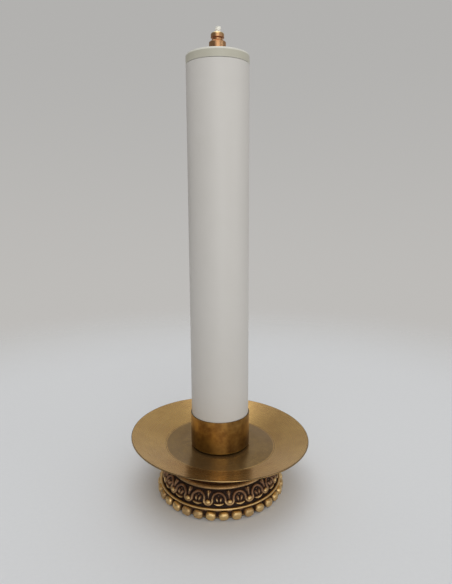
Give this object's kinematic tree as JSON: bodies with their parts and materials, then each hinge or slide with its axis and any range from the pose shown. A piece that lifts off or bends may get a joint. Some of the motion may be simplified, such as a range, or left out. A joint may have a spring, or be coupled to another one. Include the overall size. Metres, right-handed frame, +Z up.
{
  "type": "altar candlestick",
  "caption": "Low altar candlestick: ornamented cast brass base with a row of pearls, wide drip pan, socket cup and a tall refillable oil candle with a brass burner.",
  "frame": {"origin": "on the floor under the middle of the base", "axes": "+Z up along the candle; +X and +Y level"},
  "size_m": [0.1886, 0.1886, 0.4642],
  "materials": {
    "antique_brass": "dark antique patina, worn bright on the raised parts",
    "felt": "short felt",
    "pan_brass": "spun and burnished, lightly tarnished",
    "socket_bronze": "mottled bronze patina, satin",
    "plated_steel": "zinc plated",
    "white_tube": "satin, off-white",
    "white_head": "satin gloss, white",
    "tank_plastic": "natural polyethylene",
    "gasket_rubber": "matt black",
    "burner_brass": "polished, slightly coppery from heat",
    "glass_fibre_wick": "braided glass fibre, frayed at the tip"
  },
  "bodies": {
    "stand": {"base_casting": "antique_brass", "felt_ring": "felt", "neck": "antique_brass", "drip_pan": "pan_brass", "socket_spacer": "antique_brass", "socket_cup": "socket_bronze", "centre_screw": "plated_steel", "flat_washer": "plated_steel", "spring_washer": "plated_steel", "hex_nut": "plated_steel"},
    "candle": {"candle_tube": "white_tube", "tube_foot_plug": "white_tube"},
    "cartridge": {"cartridge_head": "white_head", "cartridge_tank": "tank_plastic"},
    "gasket": {"burner_gasket": "gasket_rubber"},
    "burner": {"burner_collar": "burner_brass", "burner_knob": "burner_brass", "wick_tube": "burner_brass"},
    "wick": {"wick": "glass_fibre_wick"}
  },
  "joints": [
    {"name": "candle_lift", "type": "slide", "parent": "stand", "child": "candle", "axis": [0, 0, 1], "range_m": [0, 0.06]},
    {"name": "cartridge_lift", "type": "slide", "parent": "candle", "child": "cartridge", "axis": [0, 0, 1], "range_m": [0, 0.17]},
    {"name": "burner_rise", "type": "slide", "parent": "cartridge", "child": "gasket", "axis": [0, 0, 1], "range_m": [0, 0.009]},
    {"name": "burner_turn", "type": "hinge", "parent": "gasket", "child": "burner", "pos_m": [0, 0, 0.44], "axis": [0, 0, 1], "range_deg": [0, 2160]},
    {"name": "wick_raise", "type": "slide", "parent": "burner", "child": "wick", "axis": [0, 0, 1], "range_m": [0, 0.008]}
  ],
  "couplings": [
    {"joint": "burner_turn", "follows": "burner_rise", "rad_per_m": 4188.8}
  ]
}
